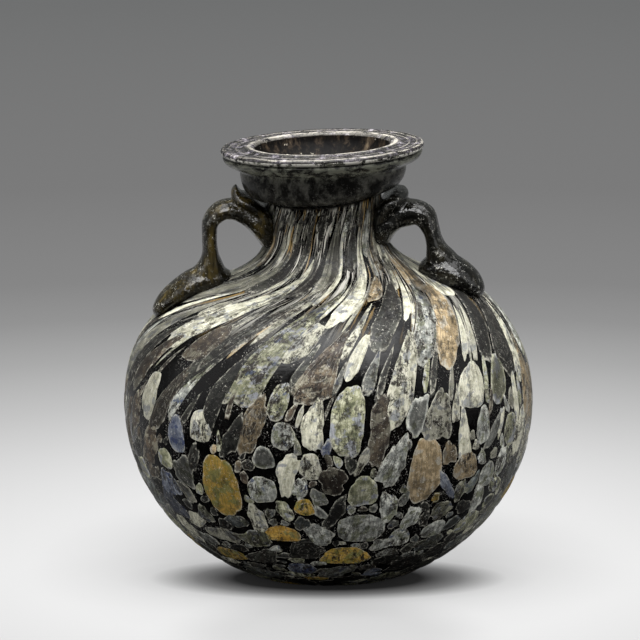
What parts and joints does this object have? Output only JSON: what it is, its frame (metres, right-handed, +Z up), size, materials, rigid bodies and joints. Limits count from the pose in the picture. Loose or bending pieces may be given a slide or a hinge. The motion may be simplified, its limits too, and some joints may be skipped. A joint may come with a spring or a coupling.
{
  "type": "aryballos",
  "caption": "Small globular oil flask of dark blown glass with opaque chips, a folded disc rim and two applied handles.",
  "frame": {"origin": "middle of the flat base, on the plane that the flask stands on", "axes": "+Z up along the flask's axis, -Y towards the front, +X to the right with a handle on each side"},
  "size_m": [0.08, 0.08, 0.085],
  "materials": {
    "body": "glossy",
    "handle": "glossy",
    "tan": "satin",
    "cream": "satin",
    "grey": "satin",
    "green": "satin",
    "ochre": "satin",
    "amber": "satin",
    "brown": "matt",
    "blue": "satin"
  },
  "bodies": {
    "root": {"amber_chip_1": "amber", "blue_chip_1": "blue", "blue_chip_2": "blue", "body": "body", "brown_chip_1": "brown", "cream_chip_1": "cream", "cream_chip_10": "cream", "cream_chip_11": "cream", "cream_chip_2": "cream", "cream_chip_3": "cream", "cream_chip_4": "cream", "cream_chip_5": "cream", "cream_chip_6": "cream", "cream_chip_7": "cream", "cream_chip_8": "cream", "cream_chip_9": "cream", "green_chip_1": "green", "green_chip_10": "green", "green_chip_2": "green", "green_chip_3": "green", "green_chip_4": "green", "green_chip_5": "green", "green_chip_6": "green", "green_chip_7": "green", "green_chip_8": "green", "green_chip_9": "green", "grey_chip_1": "grey", "grey_chip_10": "grey", "grey_chip_11": "grey", "grey_chip_12": "grey", "grey_chip_2": "grey", "grey_chip_3": "grey", "grey_chip_4": "grey", "grey_chip_5": "grey", "grey_chip_6": "grey", "grey_chip_7": "grey", "grey_chip_8": "grey", "grey_chip_9": "grey", "handle_left": "handle", "handle_right": "handle", "ochre_chip_1": "ochre", "ochre_chip_2": "ochre", "ochre_chip_3": "ochre", "ochre_chip_4": "ochre", "ochre_chip_5": "ochre", "ochre_chip_6": "ochre", "tan_chip_1": "tan", "tan_chip_2": "tan", "tan_chip_3": "tan", "tan_chip_4": "tan", "tan_chip_5": "tan", "tan_chip_6": "tan", "tan_chip_7": "tan"}
  },
  "joints": []
}
